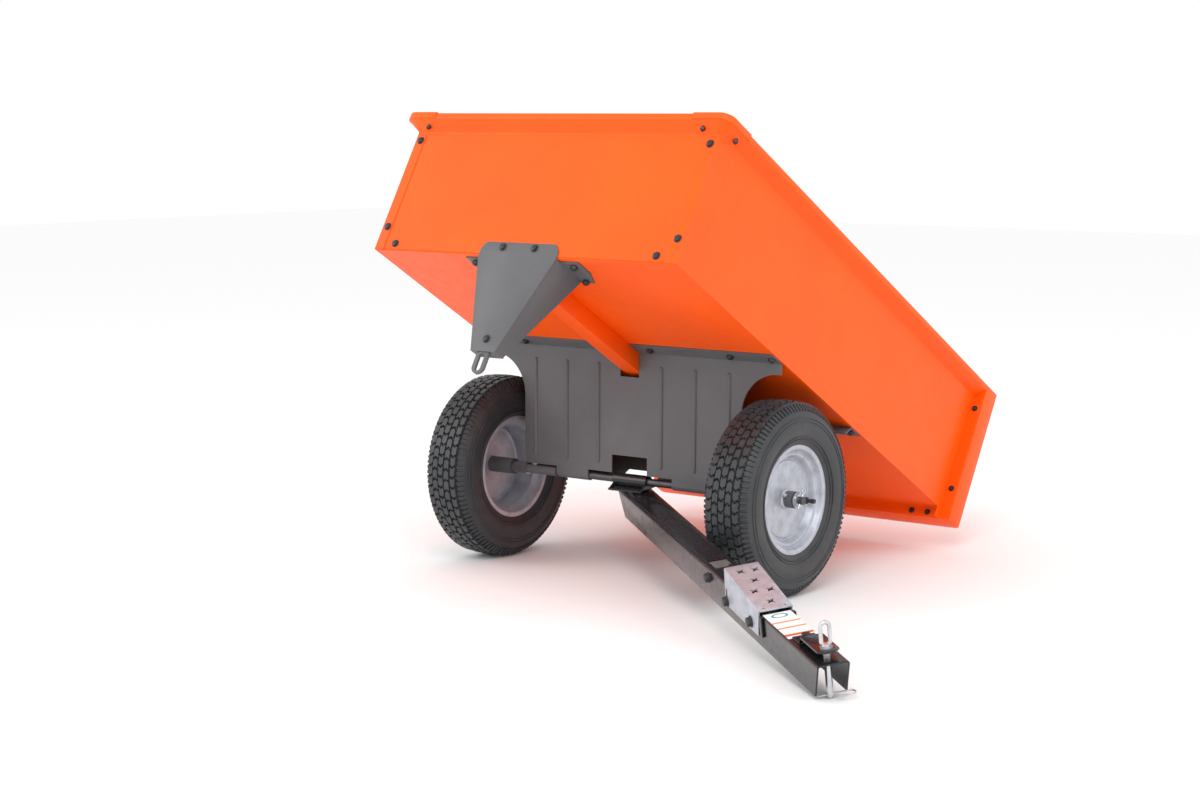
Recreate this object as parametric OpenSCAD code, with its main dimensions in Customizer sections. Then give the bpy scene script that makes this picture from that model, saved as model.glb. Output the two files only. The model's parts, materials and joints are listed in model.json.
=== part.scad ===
/* [Bed] */
// Width of the bed between its outer side faces
bed_w = 762; // [600:1:900]
// Length of the bed ahead of the axle
bed_front = 570; // [480:1:640]
// Length of the floor behind the axle
bed_rear = 602; // [520:1:680]
// Height of the floor's underside above the axle centre
floor_h = 231.5; // [215:0.5:270]
// Height of the side panels from the floor's underside to the rim's top
side_h = 306.5; // [240:0.5:360]
// Thickness of the bed's sheet steel
sheet_t = 1.5; // [1.2:0.1:2]
// Width of the rim outside the panels
rim_w = 27; // [22:1:34]
// Height of the rim's outer lip
rim_lip = 12.5; // [10:0.5:16]
// Height over which the rim's underside slopes outwards
rim_slope = 19; // [12:1:24]
// Width of the panels' folded joining flanges
seam_w = 24; // [20:1:30]

/* [Tail frame and tailgate] */
// Depth of the tailgate guides along the bed
guide_d = 51; // [44:1:60]
// Width of the guides' return flange
guide_return = 23; // [16:1:30]
// Drop of the tail sill below the floor's underside
sill_drop = 23.5; // [18:0.5:30]
// Clearance of the tailgate in its guides
gate_gap = 0.8; // [0.5:0.1:1.5]

/* [Axle and plates] */
// Diameter of the axle
axle_d = 16; // [14:0.5:20]
// Thickness of the axle plates
plate_t = 2.5; // [2:0.5:3]
// Distance of the front plate's fold ahead of the axle
front_fold = 146; // [130:1:170]
// Distance of the rear plate's fold behind the axle
rear_fold = 165; // [140:1:180]
// Width of the plates' top flange
plate_flange = 40; // [34:1:46]
// Width of the window for the swivel hub
window_w = 92; // [90:1:100]
// Height of the window above the axle
window_h = 52; // [40:1:60]
// Radius of the wheel arches in the plates
arch_r = 88; // [70:1:95]

/* [Wheels] */
// Distance of each wheel's middle from the cart's middle
wheel_x = 363; // [358:1:380]
// Radius of the tyre over its tread
tyre_r = 198; // [190:1:203]
// Width of the tyre at its sidewalls
tyre_w = 114; // [108:1:120]
// Width of the rim between its flanges, outside
rim_width = 92; // [86:1:96]
// Radius of the rim's flanges
rim_r = 112; // [110:1:114]
// Outside diameter of the wheel's hub tube
wheel_hub_d = 34; // [30:1:38]

/* [Swivel hub] */
// Outside diameter of the hub tube on the axle
hub_d = 26; // [24:1:30]
// Length of the hub tube
hub_len = 86; // [70:1:88]
// Thickness of the hub's plate
hub_plate_t = 4; // [3:0.5:6]
// Diameter of the kingpin
kingpin_d = 16; // [12:0.5:18]
// Distance of the kingpin behind the axle
kingpin_y = 8; // [0:1:12]

/* [Tongue] */
// Length of the tongue from the kingpin to its tip
tongue_len = 1150; // [1100:1:1250]
// Width of the tongue's channel
tongue_w = 58; // [54:1:64]
// Depth of the tongue's channel
tongue_d = 60; // [54:1:66]
// Wall of the tongue's channel
tongue_t = 3; // [2.5:0.5:4]
// Distance of the latch slot from the kingpin
slot_l = 572; // [560:1:580]
// Distance of the hitch pin from the tip
pin_back = 28; // [24:1:40]
// Diameter of the hitch pin
pin_d = 12; // [10:0.5:13]
// Gap between the hitch strap and the tongue's top
hitch_gap = 14; // [10:1:18]

/* [Foot pedal] */
// Distance of the pedal's pivot from the kingpin
pedal_l = 825; // [790:1:840]
// Length of the pedal
pedal_len = 179; // [160:1:182]
// Thickness of the pedal's sheet
pedal_t = 2.5; // [2:0.5:3]
// Travel of the pedal in degrees
pedal_travel = 5; // [4:0.5:5.5]

/* [Pose as drawn] */
// Tilt of the dumped bed, front up
bed_tilt = 30.6; // [0:0.1:34]
// Tongue's nose-down pitch
tongue_pitch = 9.5; // [0:0.1:12]
// Tongue's swing to the right
tongue_swing = 53; // [0:0.5:53]

/* [Hidden] */

paint = "#ff5a10";
plate_grey = "#6b6b6d";
gloss_black = "#161618";
silver = "#c9ccd2";
zinc = "#b9bcc0";
rubber = "#26272a";

bolt_r = 4;             // shank of the bed's bolts
hole_r = bolt_r + 0.2;
head_r = 8.5;
head_h = 5;
nut_r = 7.5;
nut_h = 6;
running = 0.08;         // radial clearance of a shaft in its bore
seat_gap = 0.3;         // between faces of pieces that move on each other
half_w = bed_w / 2;
rim_top = floor_h + side_h;
inner_w = half_w - sheet_t;

hub_r = hub_d / 2;
axle_r = axle_d / 2;
pad_t = 1.2;
plate_top = -hub_r + 0.6;
pad_top = plate_top - hub_plate_t;
tongue_top = pad_top - pad_t;
pin_l = tongue_len - pin_back;
pin_r = pin_d / 2;

// ---- frames ----------------------------------------------------------------------------

function about_x(p, a) = [p[0], p[1] * cos(a) - p[2] * sin(a), p[1] * sin(a) + p[2] * cos(a)];
function about_z(p, a) = [p[0] * cos(a) - p[1] * sin(a), p[0] * sin(a) + p[1] * cos(a), p[2]];
function tongue_point(p) =
    about_x(about_z(p, tongue_swing) + [0, kingpin_y, 0], tongue_pitch);
hitch_point = tongue_point([0, -pin_l, tongue_top]);

module at_hitch() {
    translate(-hitch_point) children();
}

module in_bed() {
    at_hitch() rotate([-bed_tilt, 0, 0]) children();
}

module in_hub() {
    at_hitch() rotate([tongue_pitch, 0, 0]) children();
}

module in_tongue() {
    in_hub() translate([0, kingpin_y, 0]) rotate([0, 0, tongue_swing]) children();
}

// ---- small shapes ----------------------------------------------------------------------

module box(low, high) {
    translate(low) cube(high - low);
}

module rod_x(x0, x1, r) {
    translate([x0, 0, 0]) rotate([0, 90, 0]) cylinder(h = x1 - x0, r = r, $fn = 48);
}

module tube_x(x0, x1, ro, ri) {
    difference() {
        rod_x(x0, x1, ro);
        rod_x(x0 - 1, x1 + 1, ri);
    }
}

// Outline in the YZ plane, given as [y, z] points, drawn from x0 to x1
module slab_x(x0, x1, points) {
    translate([x0, 0, 0]) rotate([90, 0, 90]) linear_extrude(x1 - x0) polygon(points);
}

// Outline in the XZ plane, given as [x, z] points, drawn from y0 to y1
module slab_y(y0, y1, points) {
    translate([0, y1, 0]) rotate([90, 0, 0]) linear_extrude(y1 - y0) polygon(points);
}

// Outline in the XY plane, drawn from z0 to z1
module slab_z(z0, z1, points) {
    translate([0, 0, z0]) linear_extrude(z1 - z0) polygon(points);
}

// Bolt with its head on +z of the origin, gripping down to -grip, nut below
module bolt(grip, r = bolt_r, head = head_r, nut = nut_r) {
    cylinder(h = head_h * 0.3, r = head, $fn = 40);
    cylinder(h = head_h, r = head * 0.82, $fn = 6);
    translate([0, 0, -grip - nut_h - 2]) cylinder(h = grip + nut_h + 3, r = r, $fn = 32);
    translate([0, 0, -grip - nut_h]) cylinder(h = nut_h, r = nut, $fn = 6);
}

module drill_z(grip, r = hole_r) {
    translate([0, 0, -grip - 4]) cylinder(h = grip + 8, r = r, $fn = 32);
}

// Turns a piece drawn along +z to face the bed's front, or a side
module face_front() {
    rotate([90, 0, 0]) children();
}

module face_side(s) {
    rotate([0, 90 * s, 0]) children();
}

// ---- bolt places, in the bed's frame ---------------------------------------------------

seam_bolt_x = half_w - 0.6 * seam_w;
seam_bolt_w = [floor_h + 52, rim_top - 52];
foot_bolt_x = half_w - 51;
foot_bolt_w = floor_h + 15;
cap_len = 56;
cap_bolt_off = 34;
plate_bolt_x = [66, 266, half_w - 15];
front_bolt_v = -(front_fold + 0.5 * plate_flange);
rear_bolt_v = rear_fold + 0.5 * plate_flange;
frame_side_w = [floor_h + 50, side_h + floor_h - 60];
frame_foot_x = [half_w - 70, half_w - 30];

module seam_bolt_places() {
    for (s = [-1, 1], w = seam_bolt_w)
        translate([s * seam_bolt_x, -bed_front - sheet_t, w]) face_front() children();
}

module foot_bolt_places() {
    for (s = [-1, 1])
        translate([s * foot_bolt_x, -bed_front, foot_bolt_w]) face_front() children();
}

module cap_bolt_places(s) {
    translate([s * (half_w - cap_bolt_off), -bed_front - rim_w / 2, rim_top + 0.5]) children();
    translate([s * (half_w + rim_w / 2), -bed_front + cap_bolt_off, rim_top + 0.5]) children();
}

module plate_bolt_places(v) {
    for (s = [-1, 1], x = plate_bolt_x)
        translate([s * x, v, floor_h + sheet_t]) children();
}

module frame_bolt_places(s) {
    for (w = frame_side_w)
        translate([s * (half_w + seam_w / 2), bed_rear - sheet_t, w]) face_front() children();
    for (x = frame_foot_x)
        translate([s * x, bed_rear - sheet_t, floor_h - sill_drop / 2]) face_front() children();
}

// ---- bed -------------------------------------------------------------------------------

// Section of the rim, outwards along +x from the panel's outer face
function rim_section() = [
    [0, rim_top - rim_lip - rim_slope - sheet_t], [rim_w, rim_top - rim_lip - sheet_t / 2],
    [rim_w, rim_top], [rim_w - 23, rim_top], [rim_w - 23, rim_top - sheet_t],
    [rim_w - sheet_t, rim_top - sheet_t], [rim_w - sheet_t, rim_top - rim_lip + sheet_t / 2],
    [-sheet_t, rim_top - rim_lip - rim_slope + sheet_t / 2],
    [-sheet_t, rim_top - rim_lip - rim_slope - sheet_t]];

// Lowered ear under the corner cap, as a section from the panel's outer face
function ear_section() = [
    [3, rim_top - 3], [rim_w - sheet_t, rim_top - 3], [rim_w - sheet_t, rim_top - 1.5],
    [3, rim_top - 1.5]];

// The rim with its top fold stopped short at the corner cap
function open_rim_section() = [
    [0, rim_top - rim_lip - rim_slope - sheet_t], [rim_w, rim_top - rim_lip - sheet_t / 2],
    [rim_w, rim_top - 1.5], [rim_w - sheet_t, rim_top - 1.5],
    [rim_w - sheet_t, rim_top - rim_lip + sheet_t / 2],
    [-sheet_t, rim_top - rim_lip - rim_slope + sheet_t / 2],
    [-sheet_t, rim_top - rim_lip - rim_slope - sheet_t]];

module side_panel(s) {
    color(paint) in_bed() difference() {
        mirror([s < 0 ? 1 : 0, 0, 0]) union() {
            box([inner_w, -bed_front - sheet_t, floor_h],
                [half_w, bed_rear, rim_top - rim_lip - rim_slope]);
            box([half_w - seam_w, -bed_front - sheet_t, floor_h],
                [half_w, -bed_front, rim_top - rim_lip - rim_slope - sheet_t - 6]);
            translate([half_w, bed_rear, 0]) rotate([90, 0, 0])
                linear_extrude(bed_rear + bed_front - cap_len) polygon(rim_section());
            translate([half_w, -bed_front + cap_len, 0]) rotate([90, 0, 0])
                linear_extrude(cap_len + sheet_t) polygon(open_rim_section());
            translate([half_w, -bed_front + cap_len + 8, 0]) rotate([90, 0, 0])
                linear_extrude(cap_len + 8) polygon(ear_section());
            box([inner_w, bed_rear - sheet_t, floor_h - sill_drop],
                [half_w + seam_w, bed_rear, rim_top - rim_lip - rim_slope]);
        }
        seam_bolt_places() drill_z(2 * sheet_t);
        frame_bolt_places(s) drill_z(2 * sheet_t);
        cap_bolt_places(s) drill_z(6);
        box([-inner_w, bed_rear - 2 * sheet_t, floor_h - sill_drop - 1],
            [inner_w, bed_rear + 1, floor_h]);
    }
}

module side_panel_left() { side_panel(-1); }

module side_panel_right() { side_panel(1); }

hem_h = 20; // upturned edges of the floor

module bed_floor() {
    color(paint) in_bed() difference() {
        union() {
            box([-inner_w, -bed_front + sheet_t, floor_h], [inner_w, bed_rear, floor_h + sheet_t]);
            for (s = [-1, 1])
                box([s < 0 ? -inner_w : inner_w - sheet_t, -bed_front + 30, floor_h],
                    [s < 0 ? -inner_w + sheet_t : inner_w, bed_rear - 30, floor_h + hem_h]);
            box([-inner_w + seam_w, -bed_front + sheet_t, floor_h],
                [inner_w - seam_w, -bed_front + 2 * sheet_t, 2 * foot_bolt_w - floor_h]);
            box([-inner_w, bed_rear - sheet_t, floor_h - sill_drop],
                [inner_w, bed_rear, floor_h + sheet_t]);
        }
        foot_bolt_places() drill_z(3 * sheet_t);
        bracket_face_places() drill_z(8);
        plate_bolt_places(front_bolt_v) drill_z(8);
        plate_bolt_places(rear_bolt_v) drill_z(8);
        for (s = [-1, 1]) {
            frame_bolt_places(s) drill_z(2 * sheet_t);
            bracket_tab_places(s) drill_z(8);
        }
    }
}

module front_panel() {
    color(paint) in_bed() difference() {
        union() {
            box([-inner_w, -bed_front, floor_h + sheet_t + 1],
                [inner_w, -bed_front + sheet_t, rim_top - rim_lip - rim_slope]);
            rotate([0, 0, -90]) {
                translate([bed_front, half_w - cap_len, 0]) rotate([90, 0, 0])
                    linear_extrude(bed_w - 2 * cap_len) polygon(rim_section());
                for (y0 = [-half_w + sheet_t, half_w - cap_len])
                    translate([bed_front, y0 + cap_len - sheet_t, 0]) rotate([90, 0, 0])
                        linear_extrude(cap_len - sheet_t)
                            polygon(open_rim_section());
                for (y0 = [-half_w + sheet_t, half_w - cap_len - 8])
                    translate([bed_front, y0 + cap_len - sheet_t + 8, 0]) rotate([90, 0, 0])
                        linear_extrude(cap_len - sheet_t + 8) polygon(ear_section());
            }
        }
        seam_bolt_places() drill_z(2 * sheet_t);
        foot_bolt_places() drill_z(3 * sheet_t);
        bracket_face_places() drill_z(8);
        for (s = [-1, 1]) cap_bolt_places(s) drill_z(6);
    }
}

// Formed cap over a front corner of the rim
cap_t = 1.5;
cap_r = 26;

module rim_corner(s) {
    outer_x = half_w + rim_w + 0.1;
    outer_v = -bed_front - rim_w - 0.1;
    color(paint) in_bed() mirror([s < 0 ? 1 : 0, 0, 0]) difference() {
        union() {
            slab_z(rim_top - 1.5, rim_top + 0.5, [
                [half_w - cap_len, outer_v], [outer_x - cap_r, outer_v],
                [outer_x, outer_v + cap_r], [outer_x, -bed_front + cap_len],
                [half_w + 6, -bed_front + cap_len], [half_w - cap_len, -bed_front - 6]]);
            box([half_w - cap_len, outer_v - cap_t, rim_top - rim_lip],
                [outer_x - cap_r, outer_v, rim_top + 0.5]);
            box([outer_x, outer_v + cap_r, rim_top - rim_lip],
                [outer_x + cap_t, -bed_front + cap_len, rim_top + 0.5]);
            translate([outer_x - cap_r, outer_v + cap_r, 0]) intersection() {
                translate([0, 0, rim_top - rim_lip])
                    cylinder(h = rim_lip + 0.5, r = cap_r + cap_t, $fn = 64);
                box([0, -cap_r - 5, 0], [cap_r + 5, 0, rim_top + 1]);
            }
        }
        translate([outer_x - cap_r, outer_v + cap_r, rim_top - rim_lip - 1])
            cylinder(h = rim_lip - 0.5, r = cap_r, $fn = 64);
        mirror([s < 0 ? 1 : 0, 0, 0]) cap_bolt_places(s) drill_z(6);
    }
}

module rim_corner_left() { rim_corner(-1); }

module rim_corner_right() { rim_corner(1); }

guide_x = half_w + rim_w;           // outer face of the guides
guide_v0 = bed_rear;
guide_v1 = bed_rear + guide_d;

module tailgate_guide(s) {
    low = floor_h - sill_drop;
    color(paint) in_bed() mirror([s < 0 ? 1 : 0, 0, 0]) difference() {
        union() {
            box([half_w + 1, guide_v0, low + sheet_t], [guide_x, guide_v0 + sheet_t, rim_top - 1]);
            box([guide_x - sheet_t, guide_v0, low + sheet_t], [guide_x, guide_v1, rim_top - 1]);
            box([guide_x - guide_return, guide_v1 - sheet_t, low + sheet_t],
                [guide_x, guide_v1, rim_top - 1]);
        }
        mirror([s < 0 ? 1 : 0, 0, 0])
            frame_bolt_places(s) drill_z(2 * sheet_t);
    }
}

module tailgate_guide_left() { tailgate_guide(-1); }

module tailgate_guide_right() { tailgate_guide(1); }

module tail_sill() {
    low = floor_h - sill_drop;
    color(paint) in_bed() difference() {
        union() {
            box([-guide_x, guide_v0, low], [guide_x, guide_v1, low + sheet_t]);
            box([-half_w, guide_v0, low], [half_w, guide_v0 + sheet_t, floor_h]);
            box([-guide_x + guide_return + 1, guide_v1 - sheet_t, low],
                [guide_x - guide_return - 1, guide_v1, floor_h + 6]);
        }
        for (s = [-1, 1]) {
            frame_bolt_places(s) drill_z(2 * sheet_t);
            translate([s * guide_x, guide_v1, low - 1]) rotate([0, 0, 45])
                cube([8, 8, 10], center = true);
        }
    }
}

gate_t = 1.5;
gate_top = rim_top - 3;

module tailgate() {
    low = floor_h - sill_drop + sheet_t + gate_gap;
    x = guide_x - sheet_t - gate_gap;
    v1 = guide_v1 - sheet_t - gate_gap;
    v0 = guide_v0 + sheet_t + 3;
    color(paint) in_bed() {
        box([-x, v1 - gate_t, low], [x, v1, gate_top]);
        for (s = [-1, 1])
            box([s < 0 ? -x : x - gate_t, v0, low], [s < 0 ? -x + gate_t : x, v1, gate_top]);
        box([-x, v0, gate_top - gate_t], [x, v1, gate_top]);
        for (w = [0.3, 0.6])
            translate([0, v1 - gate_t, low + w * (gate_top - low)])
                rotate([0, 90, 0]) cylinder(h = 1.7 * half_w, r = 5, center = true, $fn = 32);
    }
}

channel_w = 44;
channel_d = 36;
channel_t = 2;
channel_v0 = -bed_front + 95;

module centre_channel() {
    color(paint) in_bed() difference() {
        box([-channel_w / 2, channel_v0, floor_h - channel_d], [channel_w / 2, rear_fold - 4, floor_h]);
        box([-channel_w / 2 + channel_t, channel_v0 - 1, floor_h - channel_d + channel_t],
            [channel_w / 2 - channel_t, rear_fold, floor_h + 1]);
    }
}

// ---- latch bracket on the bed's front --------------------------------------------------

brk_t = 3;
brk_top_w = floor_h + 28;
brk_top_x = 91;
brk_wide_x = 98;
brk_wide_w = floor_h - 4;
brk_foot_x = 31;
brk_foot_w = 27;
brk_deep = 93;
brk_shallow = 27;
brk_lean = atan((brk_wide_x - brk_foot_x) / (brk_wide_w - brk_foot_w));
brk_side_len = norm([brk_wide_x - brk_foot_x, brk_wide_w - brk_foot_w]);
brk_tab = 44;
striker_w = 30;
striker_t = 6;
striker_low = -22;
striker_top = 62;
striker_bolt_w = 50;

module bracket_face_places() {
    for (x = [-42, 38]) translate([x, -bed_front - brk_t, floor_h + 17]) face_front() children();
}

module bracket_tab_places(s) {
    for (p = [[27, 26], [14, 88]])
        translate([s * (brk_wide_x + p[0]), -bed_front + p[1], floor_h + sheet_t]) children();
}

module latch_bracket() {
    f = -bed_front;
    color(plate_grey) in_bed() difference() {
        union() {
            slab_y(f - brk_t, f, [
                [-brk_foot_x, brk_foot_w], [brk_foot_x, brk_foot_w], [brk_wide_x, brk_wide_w],
                [brk_wide_x, floor_h + 12], [brk_top_x, brk_top_w - 5], [brk_top_x - 6, brk_top_w],
                [-brk_top_x + 6, brk_top_w], [-brk_top_x, brk_top_w - 5],
                [-brk_wide_x, floor_h + 12], [-brk_wide_x, brk_wide_w]]);
            for (s = [-1, 1]) mirror([s < 0 ? 1 : 0, 0, 0]) {
                translate([brk_foot_x, 0, brk_foot_w]) rotate([0, brk_lean, 0])
                    slab_x(-brk_t - 0.3, -0.3, [[f - 0.6 * brk_t, -1.5], [f + brk_shallow - 0.4, -1.5],
                        [f + brk_deep - 0.4, brk_side_len + 1.6], [f - 0.6 * brk_t, brk_side_len + 1.6]]);
                slab_z(floor_h - brk_t, floor_h, [
                    [brk_wide_x - brk_t - 2, f + 12], [brk_wide_x + brk_tab, f + 12],
                    [brk_wide_x + brk_tab, f + brk_deep * 0.6],
                    [brk_wide_x + brk_tab * 0.6, f + brk_deep + 6],
                    [brk_wide_x - brk_t - 2, f + brk_deep]]);
            }
            box([-brk_foot_x, f - brk_t, brk_foot_w - brk_t], [brk_foot_x, f + brk_shallow, brk_foot_w]);
        }
        bracket_face_places() drill_z(8);
        for (s = [-1, 1]) bracket_tab_places(s) drill_z(12);
        translate([0, f - brk_t, striker_bolt_w]) face_front() drill_z(10);
        box([-striker_w / 2 - 0.2, f - 0.1, brk_foot_w - 4],
            [striker_w / 2 + 0.2, f + striker_t + 0.2, brk_foot_w + 1]);
    }
}

module latch_striker() {
    f = -bed_front;
    eye = 6.5;
    color(silver) in_bed() difference() {
        union() {
            box([-striker_w / 2, f, striker_low + striker_w / 2],
                [striker_w / 2, f + striker_t, striker_top]);
            translate([0, f + striker_t, striker_low + striker_w / 2]) rotate([90, 0, 0])
                cylinder(h = striker_t, r = striker_w / 2, $fn = 48);
        }
        translate([0, f - brk_t, striker_bolt_w]) face_front() drill_z(12);
        box([-eye, f - 1, striker_low + 6 + eye], [eye, f + striker_t + 1, 14]);
        translate([0, f + striker_t + 1, striker_low + 6 + eye]) rotate([90, 0, 0])
            cylinder(h = striker_t + 2, r = eye, $fn = 32);
        translate([0, f + striker_t + 1, 14]) rotate([90, 0, 0])
            cylinder(h = striker_t + 2, r = eye, $fn = 32);
    }
}

// ---- axle and its plates ---------------------------------------------------------------

axle_end = wheel_x + rim_width / 2 + 18;
curl_r = axle_r + 0.1;

function fold_reach(fold) = norm([fold, floor_h - plate_t]);
function plate_lean(fold) =
    atan(fold / (floor_h - plate_t)) - asin((curl_r + plate_t) / fold_reach(fold));
function plate_len(fold) = sqrt(pow(fold_reach(fold), 2) - pow(curl_r + plate_t, 2));
plate_half = half_w - 4;
plate_waist = plate_half - 95;
front_tabs = [110, 195];
rear_tabs = [200, 280];
rib_x = [82, 167, 252];
rib_r = 4.5;
rib_low = 36;

module axle_plate(fold, tabs, s) {
    len = plate_len(fold);
    difference() {
        union() {
            rotate([-s * plate_lean(fold), 0, 0]) mirror([0, s < 0 ? 0 : 1, 0]) difference() {
                union() {
                    box([-plate_half, -curl_r - plate_t, axle_r + 6], [plate_half, -curl_r, len + 1.2]);
                    for (k = [-1, 1]) {
                        box([k < 0 ? -tabs[1] : tabs[0], -curl_r - plate_t, 0],
                            [k < 0 ? -tabs[0] : tabs[1], -curl_r, axle_r + 7]);
                        intersection() {
                            rod_x(k < 0 ? -tabs[1] : tabs[0], k < 0 ? -tabs[0] : tabs[1], curl_r + plate_t);
                            box([-half_w, -50, -50], [half_w, 50, 0]);
                        }
                        for (x = rib_x) translate([k * x, -curl_r - plate_t + 1, rib_low]) {
                            cylinder(h = len - 30 - rib_low, r = rib_r, $fn = 32);
                            sphere(r = rib_r, $fn = 32);
                            translate([0, 0, len - 30 - rib_low]) sphere(r = rib_r, $fn = 32);
                        }
                    }
                }
                rod_x(-half_w, half_w, curl_r);
                box([-plate_half - 1, -curl_r, 20], [plate_half + 1, 20, len + 10]);
                box([-window_w / 2, -50, -30], [window_w / 2, 50, window_h]);
                box([-channel_w / 2 - 2.4, -50, len - 52], [channel_w / 2 + 2.4, 50, len + 10]);
                for (k = [-1, 1]) {
                    translate([k * (plate_waist + arch_r), 0, len - 22 - arch_r]) rotate([90, 0, 0])
                        cylinder(h = 100, r = arch_r, center = true, $fn = 96);
                    box([k < 0 ? -half_w - 9 : plate_waist, -50, -30],
                        [k < 0 ? -plate_waist : half_w + 9, 50, len - 22 - arch_r]);
                }
            }
            box([-plate_half + 0.4, s < 0 ? -fold - plate_flange : fold - 0.5, floor_h - plate_t],
                [plate_half - 0.4, s < 0 ? -fold + 0.5 : fold + plate_flange, floor_h]);
        }
        plate_bolt_places(s < 0 ? front_bolt_v : rear_bolt_v) drill_z(10);
        box([-channel_w / 2 - 2, -bed_front, floor_h - channel_d - 3],
            [channel_w / 2 + 2, bed_rear, floor_h + 1]);
        box([-half_w, -bed_front, floor_h], [half_w, bed_rear, floor_h + 20]);
    }
}

module axle_plate_front() {
    color(plate_grey) in_bed() axle_plate(front_fold, front_tabs, -1);
}

module axle_plate_rear() {
    color(plate_grey) in_bed() axle_plate(rear_fold, rear_tabs, 1);
}

cotter_x = axle_end - 7;
cotter_r = 1.8;

module axle() {
    color(zinc) in_bed() difference() {
        rod_x(-axle_end, axle_end, axle_r);
        for (s = [-1, 1]) translate([s * cotter_x, 0, 0])
            cylinder(h = 40, r = cotter_r + 0.1, center = true, $fn = 24);
    }
}

wheel_hub_out = rim_width / 2 - 1;      // outer end of the hub tube, from the wheel's middle
wheel_hub_in = 42;
washer_t = 2.5;

module axle_washers() {
    color(zinc) in_bed() for (s = [-1, 1]) mirror([s < 0 ? 1 : 0, 0, 0]) {
        x = wheel_x + wheel_hub_out + bush_flange + seat_gap;
        tube_x(x, x + washer_t, 16, axle_r + 0.05);
        tube_x(x + washer_t + 0.2, cotter_x - cotter_r - 0.2, 13, axle_r + 0.05);
        y = wheel_x - wheel_hub_in - bush_flange - seat_gap;
        tube_x(rear_tabs[1] + 0.5, y, 13, axle_r + 0.05);
    }
}

module cotter_pins() {
    color(zinc) in_bed() for (s = [-1, 1]) translate([s * cotter_x, 0, 0]) {
        translate([0, 0, -18]) cylinder(h = 34, r = cotter_r, $fn = 20);
        translate([0, 0, 20]) rotate([0, 90, 0])
            rotate_extrude($fn = 32) translate([4.5, 0]) circle(r = cotter_r, $fn = 16);
    }
}

// ---- fasteners of the bed --------------------------------------------------------------

module front_panel_bolts() {
    color(gloss_black) in_bed() {
        seam_bolt_places() bolt(2 * sheet_t);
        foot_bolt_places() bolt(2 * sheet_t);
    }
}

module rim_corner_bolts() {
    color(gloss_black) in_bed() for (s = [-1, 1]) cap_bolt_places(s) bolt(3.5, 3.2, 6, 5);
}

module tail_frame_bolts() {
    color(gloss_black) in_bed() for (s = [-1, 1]) frame_bolt_places(s) bolt(2 * sheet_t, bolt_r, 7, 6.5);
}

module axle_plate_bolts() {
    color(gloss_black) in_bed() {
        plate_bolt_places(front_bolt_v) bolt(sheet_t + plate_t);
        plate_bolt_places(rear_bolt_v) bolt(sheet_t + plate_t);
    }
}

module latch_bracket_bolts() {
    color(gloss_black) in_bed() {
        bracket_face_places() bolt(brk_t + 2 * sheet_t);
        for (s = [-1, 1]) bracket_tab_places(s) bolt(sheet_t + brk_t);
        translate([0, -bed_front - brk_t, striker_bolt_w]) face_front() bolt(brk_t + striker_t);
    }
}

// ---- swivel hub ------------------------------------------------------------------------

hub_front = 30;
hub_back = 40;

module swivel_hub() {
    color(gloss_black) in_hub() difference() {
        union() {
            rod_x(-hub_len / 2, hub_len / 2, hub_r);
            slab_z(pad_top, plate_top, [
                [-hub_len / 2, -hub_front], [hub_len / 2, -hub_front], [hub_len / 2, hub_back - 14],
                [hub_len / 2 - 14, hub_back], [-hub_len / 2 + 14, hub_back], [-hub_len / 2, hub_back - 14]]);
            for (x = [-hub_len / 2, hub_len / 2 - 5])
                slab_x(x, x + 5, [[-hub_front + 2, plate_top - 1], [hub_back - 18, plate_top - 1], [0, 0]]);
        }
        rod_x(-hub_len, hub_len, axle_r + running);
        translate([0, kingpin_y, pad_top - 10]) cylinder(h = 30, r = kingpin_d / 2, $fn = 48);
    }
}

pin_below = 24;     // length of the kingpin under the tongue's top wall

module kingpin() {
    color(zinc) in_hub() difference() {
        translate([0, kingpin_y, tongue_top - tongue_t - pin_below])
            cylinder(h = plate_top - tongue_top + tongue_t + pin_below, r = kingpin_d / 2, $fn = 48);
        rod_x(-hub_len, hub_len, axle_r + running);
    }
}

module kingpin_washers() {
    under = tongue_top - tongue_t - seat_gap;
    seats = [[pad_top - pad_t + seat_gap, pad_top], [under - 2, under]];
    color(zinc) in_hub() for (z = seats)
        translate([0, kingpin_y, z[0]]) difference() {
            cylinder(h = z[1] - z[0], r = 22, $fn = 64);
            translate([0, 0, -1]) cylinder(h = 10, r = kingpin_d / 2 + 0.05, $fn = 48);
        }
}

module kingpin_nut() {
    top = tongue_top - tongue_t - seat_gap - 2;
    color(zinc) in_hub() translate([0, kingpin_y, top - 15]) difference() {
        union() {
            cylinder(h = 15, r = 13, $fn = 6);
            translate([0, 0, 13]) cylinder(h = 2, r = 13.8, $fn = 48);
        }
        translate([0, 0, -1]) cylinder(h = 20, r = kingpin_d / 2 + 0.02, $fn = 48);
    }
}

// ---- tongue ----------------------------------------------------------------------------

tongue_low = tongue_top - tongue_d;
tongue_r = 5;
tip_slant = 22;
tongue_tail = 30;
guide_l = slot_l + 4;
guide_z = tongue_top - 20;
guide_in = striker_w / 2 + 1.5;
stop_l = pedal_l - 133;
stop_z = tongue_top - 30;
pivot_z = tongue_top - 26;
side_bolt_r = 4;
pusher_l = pedal_l - 103;
pusher_z = tongue_top - 14;
pusher_r = 5;
strap_l = tongue_len - 125;

module channel_outline(w, d, r) {
    translate([-w / 2, -d]) square([w, d - r]);
    translate([-w / 2 + r, -r - 1]) square([w - 2 * r, r + 1]);
    for (x = [-w / 2 + r, w / 2 - r]) translate([x, -r]) circle(r = r, $fn = 32);
}

module cross_hole(l, z, r) {
    translate([0, -l, z]) rotate([0, 90, 0]) cylinder(h = 200, r = r, center = true, $fn = 32);
}

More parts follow.
